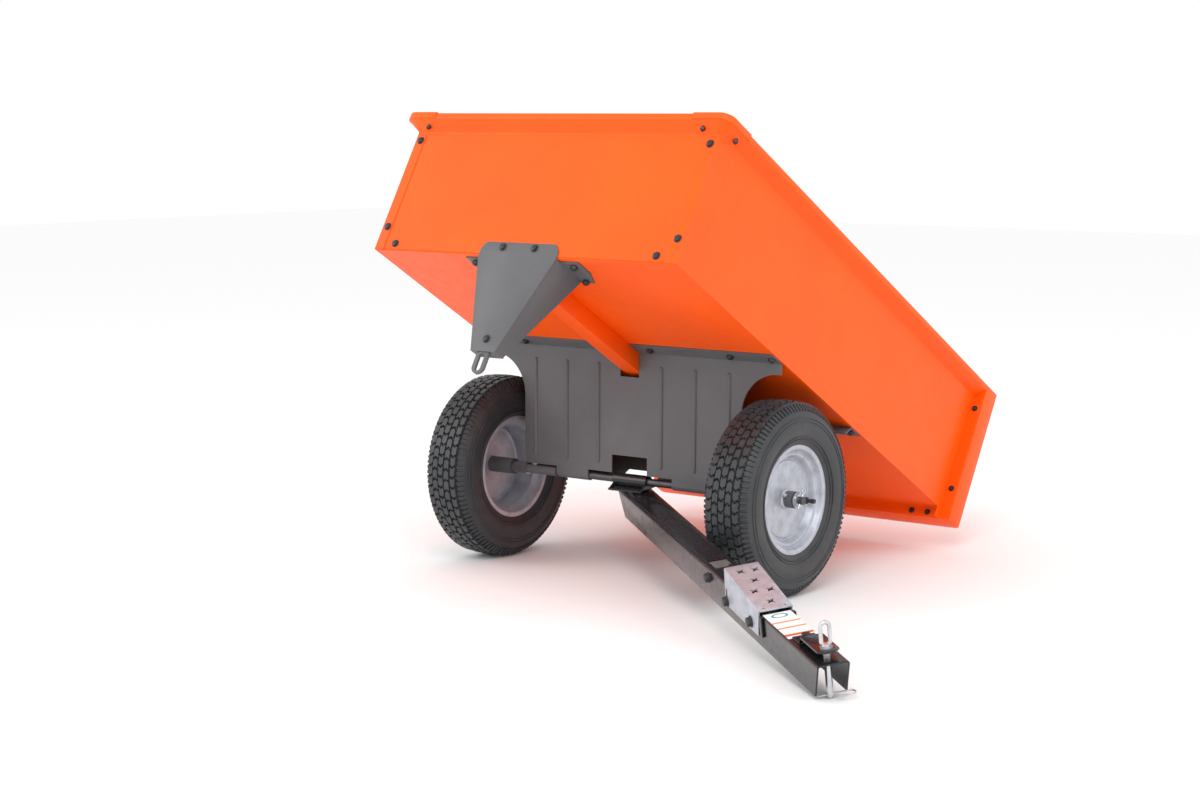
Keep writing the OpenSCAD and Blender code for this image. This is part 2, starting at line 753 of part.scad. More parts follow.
module tongue() {
    inner_w = tongue_w - 2 * tongue_t;
    color(gloss_black) in_tongue() difference() {
        translate([0, tongue_tail, tongue_top]) rotate([90, 0, 0]) linear_extrude(tongue_len + tongue_tail)
            channel_outline(tongue_w, tongue_d, tongue_r);
        translate([0, tongue_tail + 1, tongue_top - tongue_t]) rotate([90, 0, 0])
            linear_extrude(tongue_len + tongue_tail + 2)
                channel_outline(inner_w, tongue_d, tongue_r - tongue_t + 0.5);
        slab_x(-50, 50, [[-tongue_len - 1, tongue_low - 1], [-tongue_len + tip_slant, tongue_low - 1],
            [-tongue_len - 1, tongue_top - 4]]);
        slab_x(-50, 50, [[tongue_tail + 1, tongue_low - 1], [tongue_tail - 34, tongue_low - 1],
            [tongue_tail + 1, tongue_top - 14]]);
        translate([0, 0, tongue_top - 10]) cylinder(h = 20, r = kingpin_d / 2 + running, $fn = 48);
        box([-striker_w / 2 - 2.5, -slot_l - 18, tongue_top - 10],
            [striker_w / 2 + 2.5, -slot_l + 30, tongue_top + 5]);
        box([-7, -pusher_l - 12, tongue_top - 10], [7, -pusher_l + 9, tongue_top + 5]);
        translate([0, -pin_l, tongue_top - 10]) cylinder(h = 20, r = pin_r + 0.5, $fn = 40);
        translate([0, -strap_l, tongue_top - 10]) cylinder(h = 20, r = 5.2, $fn = 32);
        cross_hole(guide_l, guide_z, side_bolt_r + 0.1);
        cross_hole(stop_l, stop_z, side_bolt_r + 0.1);
        cross_hole(pedal_l, pivot_z, 5.1);
    }
}

strap_w = 40;
strap_t = 4;

module hitch_strap() {
    z0 = tongue_top;
    z1 = tongue_top + hitch_gap;
    tip = pin_l + 18;
    color(gloss_black) in_tongue() difference() {
        union() {
            box([-strap_w / 2, -strap_l - 20, z0], [strap_w / 2, -strap_l + 16, z0 + strap_t]);
            slab_x(-strap_w / 2, strap_w / 2, [
                [-strap_l - 15, z0], [-strap_l - 19, z0 + strap_t], [-strap_l - 31, z1 + strap_t],
                [-strap_l - 27, z1]]);
            slab_z(z1, z1 + strap_t, [
                [-strap_w / 2, -strap_l - 27], [-strap_w / 2, -tip + 10], [-strap_w / 2 + 10, -tip],
                [strap_w / 2 - 10, -tip], [strap_w / 2, -tip + 10], [strap_w / 2, -strap_l - 27]]);
        }
        translate([0, -pin_l, z1 - 5]) cylinder(h = 20, r = pin_r + 0.5, $fn = 40);
        translate([0, -strap_l, z0 - 5]) cylinder(h = 12, r = 5.2, $fn = 32);
    }
}

module hitch_strap_bolt() {
    color(gloss_black) in_tongue() translate([0, -strap_l, tongue_top + strap_t])
        bolt(strap_t + tongue_t, 5, 10, 9);
}

module side_bolt(l, z, half, r, head) {
    color(gloss_black) in_tongue() translate([-half, -l, z]) rotate([0, -90, 0])
        bolt(2 * half, r, head, head * 0.9);
}

module latch_guide_bolts() {
    color(gloss_black) in_tongue() for (s = [-1, 1])
        translate([s * tongue_w / 2, -guide_l, guide_z]) rotate([0, 90 * s, 0]) {
            cylinder(h = head_h * 0.3, r = 10, $fn = 40);
            cylinder(h = head_h, r = 8.2, $fn = 6);
            translate([0, 0, -9]) cylinder(h = 10, r = side_bolt_r, $fn = 32);
        }
}

// Blocks inside the tongue that carry the latch slide
module latch_guides() {
    x = tongue_w / 2 - tongue_t;
    color(gloss_black) in_tongue() difference() {
        for (s = [-1, 1]) mirror([s < 0 ? 1 : 0, 0, 0])
            slab_z(tongue_top - 36, tongue_top - 6, [
                [guide_in, -guide_l + 12], [x, -guide_l + 12], [x, -guide_l - 66],
                [slide_half + 0.4, -guide_l - 66], [slide_half + 0.4, -guide_l - 16],
                [guide_in, -guide_l - 16]]);
        cross_hole(guide_l, guide_z, side_bolt_r + 0.1);
    }
}

pedal_in = tongue_w / 2 + 0.7;
pedal_out = pedal_in + pedal_t;

module pedal_stop_bolt() { side_bolt(stop_l, stop_z, pedal_out + 0.5, side_bolt_r, 10); }

module pedal_pivot_bolt() { side_bolt(pedal_l, pivot_z, pedal_out + 0.5, 5, 10); }

saddle_l = pedal_l + 55;
saddle_w = 4;

module pedal_saddle() {
    h = 37;
    color(gloss_black) in_tongue() translate([0, -saddle_l + saddle_w / 2, tongue_top])
        rotate([90, 0, 0]) linear_extrude(saddle_w) difference() {
            union() {
                translate([-pedal_in - 3, -h]) square([2 * pedal_in + 6, h]);
                translate([-pedal_in + 2, -1]) square([2 * pedal_in - 4, 4]);
                for (s = [-1, 1]) translate([s * (pedal_in - 1.7), -1.7]) circle(r = 4.7, $fn = 32);
            }
            channel_outline(tongue_w, h + 5, tongue_r);
        }
}

label_t = 0.6;

module tongue_label() {
    color("#f2f2f0") in_tongue()
        box([-25, -strap_l + 17, tongue_top], [25, -saddle_l - 3, tongue_top + label_t]);
}

// ---- foot pedal and latch --------------------------------------------------------------

pedal_rear = pedal_l - 131;
pedal_front = pedal_rear + pedal_len;
pedal_rise = 35;        // height of the raised end above the tongue
pedal_nose = 7.5;       // height of the low end above the tongue
star_u = [0.12, 0.13, 0.345, 0.587, 0.573, 0.823];
star_s = [-0.18, 0.31, 0.05, 0.29, -0.21, 0.03];
star_r = 11;
pedal_slope = atan((pedal_rise - pedal_nose) / pedal_len);

module star_hole(r) {
    for (a = [45, 135]) rotate([0, 0, a]) linear_extrude(20, center = true)
        polygon([[-r, 0], [0, -r * 0.36], [r, 0], [0, r * 0.36]]);
}

module foot_pedal() {
    z0 = tongue_top;
    pusher_top = z0 + pedal_rise - 1 - (pusher_l + pusher_r - pedal_rear) * tan(pedal_slope);
    stop_arc = norm([pedal_l - stop_l, stop_z - pivot_z]);
    color(silver) in_tongue() difference() {
        union() {
            difference() {
                slab_x(-pedal_out, pedal_out, [
                    [-pedal_rear, z0 + pedal_rise], [-pedal_rear + 4, z0 + pedal_rise - 4],
                    [-pedal_rear + 13, z0 - 38], [-pedal_front + 14, z0 - 42],
                    [-pedal_front, z0 + pedal_nose]]);
                slab_x(-pedal_in, pedal_in, [
                    [-pedal_rear + 20, z0 + pedal_rise - pedal_t + 20 * tan(pedal_slope)],
                    [-pedal_rear + 20, z0 - 60],
                    [-pedal_front - 10, z0 - 60],
                    [-pedal_front - 10, z0 + pedal_nose - pedal_t - 10 * tan(pedal_slope)]]);
            }
            box([-4, -pusher_l - pusher_r, pusher_z], [4, -pusher_l + pusher_r, pusher_top]);
            translate([-4, -pusher_l, pusher_z]) rotate([0, 90, 0]) cylinder(h = 8, r = pusher_r, $fn = 32);
        }
        cross_hole(pedal_l, pivot_z, 5.1);
        intersection() {
            translate([0, -pedal_l, pivot_z]) rotate([0, 90, 0]) difference() {
                cylinder(h = 200, r = stop_arc + 4.6, center = true, $fn = 128);
                cylinder(h = 201, r = stop_arc - 4.6, center = true, $fn = 128);
            }
            box([-100, -stop_l - 10, stop_z - 25], [100, -stop_l + 10, stop_z + 21]);
        }
        cross_hole(stop_l, stop_z, 4.6);
        cross_hole(stop_l + 1, stop_z + 21, 4.6);
        translate([0, -pedal_rear, z0 + pedal_rise]) rotate([pedal_slope, 0, 0])
            for (i = [0 : len(star_u) - 1])
                translate([star_s[i] * tongue_w, -(0.02 + star_u[i]) * pedal_len, 0]) star_hole(star_r);
        for (s = [-1, 1]) translate([s * 20, -pedal_front + 8, z0])
            cylinder(h = 60, r = 2.2, center = true, $fn = 20);
    }
}

slide_half = 3;
slide_travel = 10;
finger_l = slot_l + 7;

module latch_slide() {
    top = tongue_top - tongue_t - 4;
    low = stop_z - 11;
    arm = [pedal_l - pusher_l, pusher_z - pivot_z];
    rise = arm[0] * sin(pedal_travel) - arm[1] * (1 - cos(pedal_travel));
    run = slide_travel + arm[0] * (1 - cos(pedal_travel)) + arm[1] * sin(pedal_travel);
    off = (pusher_r + 0.35) / norm([rise, run]);
    notch = pusher_z - pusher_r - 1.5;
    foot_y = -pusher_l - off * rise;
    foot_z = pusher_z - off * run;
    color(zinc) in_tongue() difference() {
        slab_x(-slide_half, slide_half, [
            [-finger_l, top], [-finger_l, top - 6], [-finger_l - 24, top - 8], [-finger_l - 28, low],
            [-pusher_l - 44, low], [-pusher_l - 44, top - 6], [-pusher_l - 36, top],
            [foot_y - (top - foot_z) * run / rise, top], [foot_y + (foot_z - notch) * run / rise, notch],
            [-pusher_l + 8, notch], [-pusher_l + 8, top]]);
        for (d = [0, slide_travel]) cross_hole(stop_l + d, stop_z, side_bolt_r + 0.3);
        box([-20, -stop_l - slide_travel, stop_z - 4.3], [20, -stop_l, stop_z + 4.3]);
    }
}

spring_r = 6;
spring_wire = 1;
spring_turns = 9;
spring_l0 = pusher_l + 44.3 + spring_wire;
spring_l1 = pedal_l - 5.4 - spring_wire;
spring_steps = 14;
function spring_ring(i) =
    let (a = i * 360 / spring_steps,
         l = spring_l0 + (spring_l1 - spring_l0) * i / (spring_turns * spring_steps))
    [for (j = [0 : 7]) let (b = j * 45, r = spring_r + spring_wire * cos(b))
        [r * cos(a), -l + spring_wire * sin(b), pivot_z + r * sin(a)]];

module latch_spring() {
    n = spring_turns * spring_steps;
    points = [for (i = [0 : n]) each spring_ring(i)];
    sides = [for (i = [0 : n - 1], j = [0 : 7])
        [i * 8 + j, i * 8 + (j + 1) % 8, (i + 1) * 8 + (j + 1) % 8, (i + 1) * 8 + j]];
    ends = [[for (j = [7 : -1 : 0]) j], [for (j = [0 : 7]) n * 8 + j]];
    color(zinc) in_tongue() polyhedron(points, concat(sides, ends));
}

// ---- hitch pin and clip ----------------------------------------------------------------

pin_top = tongue_top + hitch_gap + strap_t;
pin_tip = tongue_low - 10;
clip_z = tongue_low - 4;
clip_r = 1.5;
loop_r = 8;
loop_h = 29;

module hitch_pin() {
    color(zinc) in_tongue() translate([0, -pin_l, 0]) difference() {
        union() {
            translate([0, 0, pin_tip + 3]) cylinder(h = pin_top + 8 - pin_tip - 3, r = pin_r, $fn = 40);
            translate([0, 0, pin_tip]) cylinder(h = 3, r1 = pin_r - 2, r2 = pin_r, $fn = 40);
            translate([0, 0, pin_top]) cylinder(h = 3, r = pin_r + 5, $fn = 40);
            translate([0, 0, pin_top + 8]) {
                for (s = [-1, 1]) translate([s * loop_r, 0, loop_r - 4])
                    cylinder(h = loop_h - loop_r + 4, r = 3.5, $fn = 24);
                translate([0, 0, loop_h]) rotate([90, 0, 0]) intersection() {
                    rotate_extrude($fn = 48) translate([loop_r, 0]) circle(r = 3.5, $fn = 24);
                    translate([-40, 0, -10]) cube([80, 40, 20]);
                }
                translate([0, 0, loop_r - 4]) rotate([90, 0, 0]) intersection() {
                    rotate_extrude($fn = 48) translate([loop_r, 0]) circle(r = 3.5, $fn = 24);
                    translate([-40, -40, -10]) cube([80, 40, 20]);
                }
            }
        }
        translate([0, 0, clip_z]) rotate([0, 90, 0])
            cylinder(h = 40, r = clip_r + 0.3, center = true, $fn = 24);
    }
}

module hitch_clip() {
    bow = 8;
    left = -21;
    right = 34;
    color(zinc) in_tongue() translate([0, -pin_l, clip_z]) {
        translate([left, 0, 0]) rotate([0, 90, 0]) cylinder(h = right - left, r = clip_r, $fn = 20);
        translate([right, -bow, 0]) intersection() {
            rotate_extrude($fn = 48) translate([bow, 0]) circle(r = clip_r, $fn = 16);
            translate([0, -30, -10]) cube([30, 60, 20]);
        }
        translate([8, -2 * bow, 0]) rotate([0, 90, 0]) cylinder(h = right - 8, r = clip_r, $fn = 20);
    }
}

// ---- wheels ----------------------------------------------------------------------------

wheel_t = 2.6;
bead_r = 101.5;
drop_r = 90;
disc_r = 79;
disc_x = rim_width / 2 - 26;
tread_half = 35;
tyre_t = 8;
bush_flange = 3;
bush_len = 20;
bush_t = 4;

// Draws a wheel section, given as [distance from the wheel's middle, radius], about the axle
module turned(side, points) {
    at_hitch() translate([side * wheel_x, 0, 0]) mirror([side < 0 ? 1 : 0, 0, 0])
        rotate([0, 90, 0]) rotate([0, 0, 90]) rotate_extrude($fn = 144)
            polygon([for (p = points) [p[1], p[0]]]);
}

function arc_points(cx, cr, rx, rr, a0, a1, n) =
    [for (i = [0 : n]) let (a = a0 + (a1 - a0) * i / n) [cx + rx * cos(a), cr + rr * sin(a)]];

bead_half = rim_width / 2 - wheel_t;
wall_r = 150;
side_run = tyre_w / 2 - tread_half;     // from the tread's edge to the sidewall
wall_rise = tyre_r - 4 - wall_r;
tyre_outer = concat(
    [[bead_half, bead_r], [bead_half, rim_r + 3]],
    arc_points(tread_half, wall_r, side_run, wall_rise, -40, 90, 12),
    arc_points(-tread_half, wall_r, side_run, wall_rise, 90, 220, 12),
    [[-bead_half, rim_r + 3], [-bead_half, bead_r]]);
tyre_inner = concat(
    [[-bead_half + tyre_t, bead_r], [-bead_half + tyre_t, rim_r + 3]],
    arc_points(-tread_half, wall_r, side_run - tyre_t, wall_rise - tyre_t, 220, 90, 12),
    arc_points(tread_half, wall_r, side_run - tyre_t, wall_rise - tyre_t, 90, -40, 12),
    [[bead_half - tyre_t, rim_r + 3], [bead_half - tyre_t, bead_r]]);
tread_rows = [-30, -15, 0, 15, 30];

module tyre(side) {
    color(rubber) turned(side, concat(tyre_outer, tyre_inner));
    color(rubber) for (x = tread_rows)
        turned(side, [[x - 5.5, tyre_r - 5], [x + 5.5, tyre_r - 5], [x + 4.5, tyre_r], [x - 4.5, tyre_r]]);
}

module tyre_left() { tyre(-1); }

module tyre_right() { tyre(1); }

module rim(side) {
    b = rim_width / 2;
    color(silver) turned(side, [
        [-b, rim_r], [-b, bead_r - wheel_t], [-b + 16, bead_r - wheel_t], [-b + 24, drop_r],
        [disc_x - 1, drop_r], [disc_x + 1, disc_r], [disc_x + 1, wheel_hub_d / 2],
        [disc_x + 1 + wheel_t, wheel_hub_d / 2], [disc_x + 1 + wheel_t, disc_r],
        [disc_x + wheel_t + 1, drop_r], [disc_x + 12, drop_r], [b - wheel_t - 8, bead_r - wheel_t],
        [b, bead_r - wheel_t], [b, rim_r], [b - wheel_t, rim_r], [b - wheel_t, bead_r],
        [b - wheel_t - 10, bead_r], [disc_x + 10, drop_r + wheel_t], [-b + 22, drop_r + wheel_t],
        [-b + 14, bead_r], [-b + wheel_t, bead_r], [-b + wheel_t, rim_r]]);
}

module rim_left() { rim(-1); }

module rim_right() { rim(1); }

module wheel_hub(side) {
    r = wheel_hub_d / 2;
    color("#3b3d42") difference() {
        turned(side, [[-wheel_hub_in, r], [wheel_hub_out, r], [wheel_hub_out, axle_r + bush_t],
            [-wheel_hub_in, axle_r + bush_t]]);
        grease_place(side) translate([0, 0, -8]) cylinder(h = 20, r = 3, $fn = 24);
    }
}

module grease_place(side) {
    at_hitch() translate([side * (wheel_x + wheel_hub_out - 14), 0, 0]) rotate([60, 0, 0])
        translate([0, 0, wheel_hub_d / 2]) children();
}

module wheel_hub_left() { wheel_hub(-1); }

module wheel_hub_right() { wheel_hub(1); }

module wheel_bushes(side) {
    r = axle_r + bush_t;
    color(gloss_black) {
        turned(side, [[wheel_hub_out - bush_len, r], [wheel_hub_out, r], [wheel_hub_out, r + 4],
            [wheel_hub_out + bush_flange, r + 4], [wheel_hub_out + bush_flange, axle_r + running],
            [wheel_hub_out - bush_len, axle_r + running]]);
        turned(side, [[-wheel_hub_in + bush_len, r], [-wheel_hub_in, r], [-wheel_hub_in, r + 4],
            [-wheel_hub_in - bush_flange, r + 4], [-wheel_hub_in - bush_flange, axle_r + running],
            [-wheel_hub_in + bush_len, axle_r + running]]);
    }
}

module wheel_bushes_left() { wheel_bushes(-1); }

module wheel_bushes_right() { wheel_bushes(1); }

module grease_fitting(side) {
    color(zinc) grease_place(side) {
        translate([0, 0, -3]) cylinder(h = 8, r = 3, $fn = 24);
        cylinder(h = 4, r = 5, $fn = 6);
        translate([0, 0, 5]) cylinder(h = 4, r1 = 3, r2 = 2, $fn = 24);
        translate([0, 0, 9]) sphere(r = 2.4, $fn = 24);
    }
}

module grease_fitting_left() { grease_fitting(-1); }

module grease_fitting_right() { grease_fitting(1); }

valve_r = 71;
valve_len = 16;

module valve_stem(side) {
    color(gloss_black) at_hitch() translate([side * (wheel_x + disc_x + 1 + wheel_t), 0, 0])
        rotate([170, 0, 0]) translate([0, -valve_r, 0]) rotate([0, side * 90, 0]) {
            cylinder(h = 4, r = 7, $fn = 32);
            cylinder(h = valve_len, r = 4, $fn = 32);
            translate([0, 0, valve_len - 2]) cylinder(h = 8, r = 4.8, $fn = 32);
        }
}

module valve_stem_left() { valve_stem(-1); }

module valve_stem_right() { valve_stem(1); }

// ---- the part --------------------------------------------------------------------------

bed_floor();
side_panel_left();
side_panel_right();
front_panel();
rim_corner_left();
rim_corner_right();
tailgate_guide_left();
tailgate_guide_right();
tail_sill();
centre_channel();
latch_bracket();
latch_striker();
axle_plate_front();
axle_plate_rear();
axle();
axle_washers();
cotter_pins();
front_panel_bolts();
rim_corner_bolts();
tail_frame_bolts();
axle_plate_bolts();
latch_bracket_bolts();
tailgate();
swivel_hub();
kingpin();
kingpin_washers();
kingpin_nut();
tongue();
hitch_strap();
hitch_strap_bolt();
pedal_saddle();
pedal_pivot_bolt();
pedal_stop_bolt();
latch_guides();
latch_guide_bolts();
tongue_label();
foot_pedal();
latch_slide();
latch_spring();
hitch_pin();
hitch_clip();
tyre_left();
rim_left();
wheel_hub_left();
wheel_bushes_left();
grease_fitting_left();
valve_stem_left();
tyre_right();
rim_right();
wheel_hub_right();
wheel_bushes_right();
grease_fitting_right();
valve_stem_right();
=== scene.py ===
import bmesh
import bpy
import json
from math import pi, radians
from mathutils import Matrix, Vector


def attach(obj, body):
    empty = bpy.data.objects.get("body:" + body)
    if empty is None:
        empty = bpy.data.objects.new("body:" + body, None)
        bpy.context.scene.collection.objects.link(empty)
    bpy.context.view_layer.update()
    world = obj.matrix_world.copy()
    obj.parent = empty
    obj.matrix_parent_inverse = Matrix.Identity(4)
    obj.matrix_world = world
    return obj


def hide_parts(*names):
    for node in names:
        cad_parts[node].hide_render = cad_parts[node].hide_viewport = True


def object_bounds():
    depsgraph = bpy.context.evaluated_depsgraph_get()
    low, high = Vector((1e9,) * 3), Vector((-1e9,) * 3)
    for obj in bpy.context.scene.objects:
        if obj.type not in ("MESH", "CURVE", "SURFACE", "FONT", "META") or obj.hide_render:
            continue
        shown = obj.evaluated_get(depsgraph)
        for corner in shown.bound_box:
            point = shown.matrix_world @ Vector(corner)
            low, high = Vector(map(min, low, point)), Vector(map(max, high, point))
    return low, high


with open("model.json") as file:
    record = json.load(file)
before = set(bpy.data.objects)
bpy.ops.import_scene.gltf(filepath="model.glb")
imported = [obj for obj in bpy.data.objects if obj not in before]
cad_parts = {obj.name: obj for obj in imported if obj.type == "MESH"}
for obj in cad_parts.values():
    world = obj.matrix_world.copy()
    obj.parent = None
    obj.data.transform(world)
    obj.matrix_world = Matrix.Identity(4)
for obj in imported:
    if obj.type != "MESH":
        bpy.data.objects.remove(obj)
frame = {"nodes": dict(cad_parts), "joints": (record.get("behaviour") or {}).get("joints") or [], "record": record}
cadBox = [list(corner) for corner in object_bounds()]
joints = {joint["name"]: joint for joint in frame["joints"]}
slotOf = {part["node"]: part["material_slot"] for part in frame["record"]["subparts"]}
bodyNodes = frame["record"]["behaviour"]["bodies"]
bpy.context.scene.view_settings.view_transform = "Standard"
print("frame loaded")

# Pieces are drawn in millimetres, each in the frame of the part it belongs to
pose = {"tilt": 30.6, "pitch": 9.5, "swing": 53.0, "kingpin": 8.0}
axle = Matrix.Translation(joints["bed_dump"]["pos_m"]) @ Matrix.Scale(0.001, 4)
bedPlace = axle @ Matrix.Rotation(radians(-pose["tilt"]), 4, "X")
hubPlace = axle @ Matrix.Rotation(radians(pose["pitch"]), 4, "X")
tonguePlace = (hubPlace @ Matrix.Translation((0, pose["kingpin"], 0))
               @ Matrix.Rotation(radians(pose["swing"]), 4, "Z"))


class Wire:
    # a shader value that can be used in sums
    def __init__(self, finish, socket):
        self.finish = finish
        self.socket = socket

    def maths(self, operation, other):
        return self.finish.node("ShaderNodeMath", {"operation": operation}, {0: self, 1: other})

    def __add__(self, other):
        return self.maths("ADD", other)

    __radd__ = __add__

    def __mul__(self, other):
        return self.maths("MULTIPLY", other)

    __rmul__ = __mul__


class Finish:
    # one material with its shader and the nodes behind it
    def __init__(self, name):
        self.material = bpy.data.materials.new(name)
        self.material.use_nodes = True
        self.tree = self.material.node_tree
        self.shader = self.tree.nodes["Principled BSDF"]
        self.place = self.node("ShaderNodeTexCoord", output="Object")

    def link(self, value, socket):
        if isinstance(value, Wire):
            self.tree.links.new(value.socket, socket)
        else:
            socket.default_value = value

    def node(self, kind, settings=None, inputs=None, output=0):
        item = self.tree.nodes.new(kind)
        for key, value in (settings or {}).items():
            setattr(item, key, value)
        for key, value in (inputs or {}).items():
            self.link(value, item.inputs[key])
        return Wire(self, item.outputs[output])

    def noise(self, scale, detail=3.0, rough=0.55):
        return self.node("ShaderNodeTexNoise", {}, {"Vector": self.place, "Scale": scale, "Detail": detail,
                                                    "Roughness": rough})

    def fade(self, value, low, high, start=0.0, end=1.0):
        return self.node("ShaderNodeMapRange", {}, {"Value": value, "From Min": low, "From Max": high,
                                                    "To Min": start, "To Max": end})

    def blend(self, factor, first, second):
        return self.node("ShaderNodeMix", {"data_type": "RGBA"}, {0: factor, 6: first, 7: second}, 2)

    def set(self, **values):
        for name, value in values.items():
            self.link(value, self.shader.inputs[name.replace("_", " ")])

    def bump(self, height, strength, distance=0.001):
        self.link(self.node("ShaderNodeBump", {}, {"Height": height, "Strength": strength,
                                                   "Distance": distance}), self.shader.inputs["Normal"])


def paintFinish(name, colour, dark, rough, coat, peel, dust):
    finish = Finish(name)
    cloud = finish.noise(5, 4)
    film = finish.noise(38, 5, 0.6)
    tone = finish.blend(finish.fade(cloud, 0.35, 0.7), (*colour, 1), (*dark, 1))
    grime = finish.blend(finish.fade(film, 0.6, 0.85) * dust, tone, (0.32, 0.29, 0.25, 1))
    finish.set(Base_Color=grime,
               Roughness=finish.fade(film, 0.3, 0.8, rough, rough + 0.14),
               Coat_Weight=coat, Coat_Roughness=0.12, Specular_IOR_Level=0.24)
    finish.bump(finish.noise(420, 2) * 0.7 + finish.noise(60, 2) * 0.3, peel)
    return finish.material


def metalFinish(name, colour, rough, grain, metallic):
    finish = Finish(name)
    stain = finish.noise(45, 4, 0.6)
    fine = finish.noise(900, 3, 0.6)
    shade = [c * 0.72 for c in colour]
    finish.set(Base_Color=finish.blend(finish.fade(stain, 0.4, 0.75), (*colour, 1), (*shade, 1)),
               Roughness=finish.fade(fine + stain * 0.5, 0.5, 1.1, rough, rough + 0.16),
               Metallic=metallic)
    finish.bump(fine, grain, 0.0004)
    return finish.material


def rubberFinish(name, colour, rough):
    finish = Finish(name)
    dust = finish.noise(26, 5, 0.65)
    pore = finish.noise(1400, 2)
    finish.set(Base_Color=finish.blend(finish.fade(dust, 0.45, 0.85, 0, 0.5), (*colour, 1),
                                       (0.085, 0.082, 0.078, 1)),
               Roughness=finish.fade(dust, 0.3, 0.8, rough, rough + 0.12))
    finish.bump(pore, 0.25, 0.0004)
    return finish.material


def plasticFinish(name, colour, rough):
    finish = Finish(name)
    mark = finish.noise(90, 4)
    finish.set(Base_Color=finish.blend(finish.fade(mark, 0.5, 0.9, 0, 0.2), (*colour, 1),
                                       (0.4, 0.39, 0.37, 1)),
               Roughness=finish.fade(mark, 0.3, 0.8, rough, rough + 0.1))
    finish.bump(finish.noise(700, 2), 0.06, 0.0004)
    return finish.material


orange = paintFinish("orangePaint", colour=(1.0, 0.104, 0.0), dark=(0.97, 0.092, 0.0), rough=0.36, coat=0.05,
                     peel=0.05, dust=0.02)
plateGrey = paintFinish("plateGrey", colour=(0.125, 0.125, 0.13), dark=(0.1, 0.1, 0.105), rough=0.42,
                        coat=0.1, peel=0.12, dust=0.1)
glossBlack = paintFinish("glossBlack", colour=(0.016, 0.016, 0.018), dark=(0.011, 0.011, 0.013), rough=0.2,
                         coat=0.4, peel=0.05, dust=0.02)
silverPaint = metalFinish("silverPaint", colour=(0.5, 0.525, 0.585), rough=0.36, grain=0.08, metallic=0.5)
zincPlate = metalFinish("zincPlate", colour=(0.62, 0.63, 0.65), rough=0.26, grain=0.15, metallic=1.0)
darkSteel = metalFinish("darkSteel", colour=(0.1, 0.1, 0.105), rough=0.38, grain=0.15, metallic=0.8)
blackOxide = metalFinish("blackOxide", colour=(0.05, 0.05, 0.055), rough=0.32, grain=0.2, metallic=0.6)
tyreRubber = rubberFinish("tyreRubber", colour=(0.027, 0.03, 0.034), rough=0.42)
valveRubber = rubberFinish("valveRubber", colour=(0.02, 0.02, 0.02), rough=0.5)
blackNylon = plasticFinish("blackNylon", colour=(0.03, 0.03, 0.033), rough=0.4)
labelFilm = plasticFinish("labelFilm", colour=(0.88, 0.88, 0.86), rough=0.3)
labelOrange = plasticFinish("labelOrange", colour=(0.85, 0.24, 0.07), rough=0.3)
labelDark = plasticFinish("labelDark", colour=(0.62, 0.12, 0.03), rough=0.3)
labelTeal = plasticFinish("labelTeal", colour=(0.05, 0.32, 0.36), rough=0.3)
finishOf = {"paint": orange, "plate_grey": plateGrey, "gloss_black": glossBlack, "silver": silverPaint,
            "zinc": zincPlate, "black_bolt": blackOxide, "tyre": tyreRubber, "bush": blackNylon,
            "valve": valveRubber, "label": labelFilm}
bareFinish = {"latch_striker": plateGrey, "axle": darkSteel}
for node, kind in slotOf.items():
    for slot in frame["nodes"][node].material_slots:
        slot.material = bareFinish.get(node, finishOf[kind])
print("materials made")


def vertsOf(result):
    return [item for item in result["geom"] if isinstance(item, bmesh.types.BMVert)]


def softenEdges(bm, width, angle=32, segments=2):
    sharp = [e for e in bm.edges if len(e.link_faces) == 2 and e.calc_face_angle() > radians(angle)]
    if sharp:
        bmesh.ops.bevel(bm, geom=sharp, offset=width, segments=segments, profile=0.5, affect="EDGES",
                        material=-1)


def addPiece(name, bm, place, body, finishes, nodes, smooth=32, merge=True):
    if merge:
        bmesh.ops.remove_doubles(bm, verts=bm.verts, dist=0.002)
    bmesh.ops.transform(bm, matrix=place, verts=bm.verts)
    if place.determinant() < 0:
        bmesh.ops.reverse_faces(bm, faces=bm.faces)
    for face in bm.faces:
        face.smooth = True
    for edge in bm.edges:
        edge.smooth = len(edge.link_faces) == 2 and edge.calc_face_angle() < radians(smooth)
    mesh = bpy.data.meshes.new(name)
    bm.to_mesh(mesh)
    bm.free()
    piece = bpy.data.objects.new(name, mesh)
    bpy.context.scene.collection.objects.link(piece)
    for finish in finishes if isinstance(finishes, (list, tuple)) else [finishes]:
        mesh.materials.append(finish)
    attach(piece, body)
    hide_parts(*nodes)


def bodyOf(node):
    return next(body for body, nodes in bodyNodes.items() if node in nodes)


def softCopy(node, width, shortest, angle=32):
    # the same part with its bends and cut edges rounded: sizes in millimetres, the part's mesh in metres
    bm = bmesh.new()
    bm.from_mesh(frame["nodes"][node].data)
    bmesh.ops.remove_doubles(bm, verts=bm.verts, dist=0.000005)
    bmesh.ops.dissolve_limit(bm, angle_limit=radians(1), verts=bm.verts, edges=bm.edges)
    sharp = [e for e in bm.edges if len(e.link_faces) == 2 and e.calc_length() > shortest / 1000
             and e.calc_face_angle() > radians(angle)]
    bmesh.ops.bevel(bm, geom=sharp, offset=width / 1000, segments=2, profile=0.5, affect="EDGES",
                    material=-1, clamp_overlap=True)
    addPiece(node + "Soft", bm, Matrix(), bodyOf(node), bareFinish.get(node, finishOf[slotOf[node]]), [node],
             40, False)


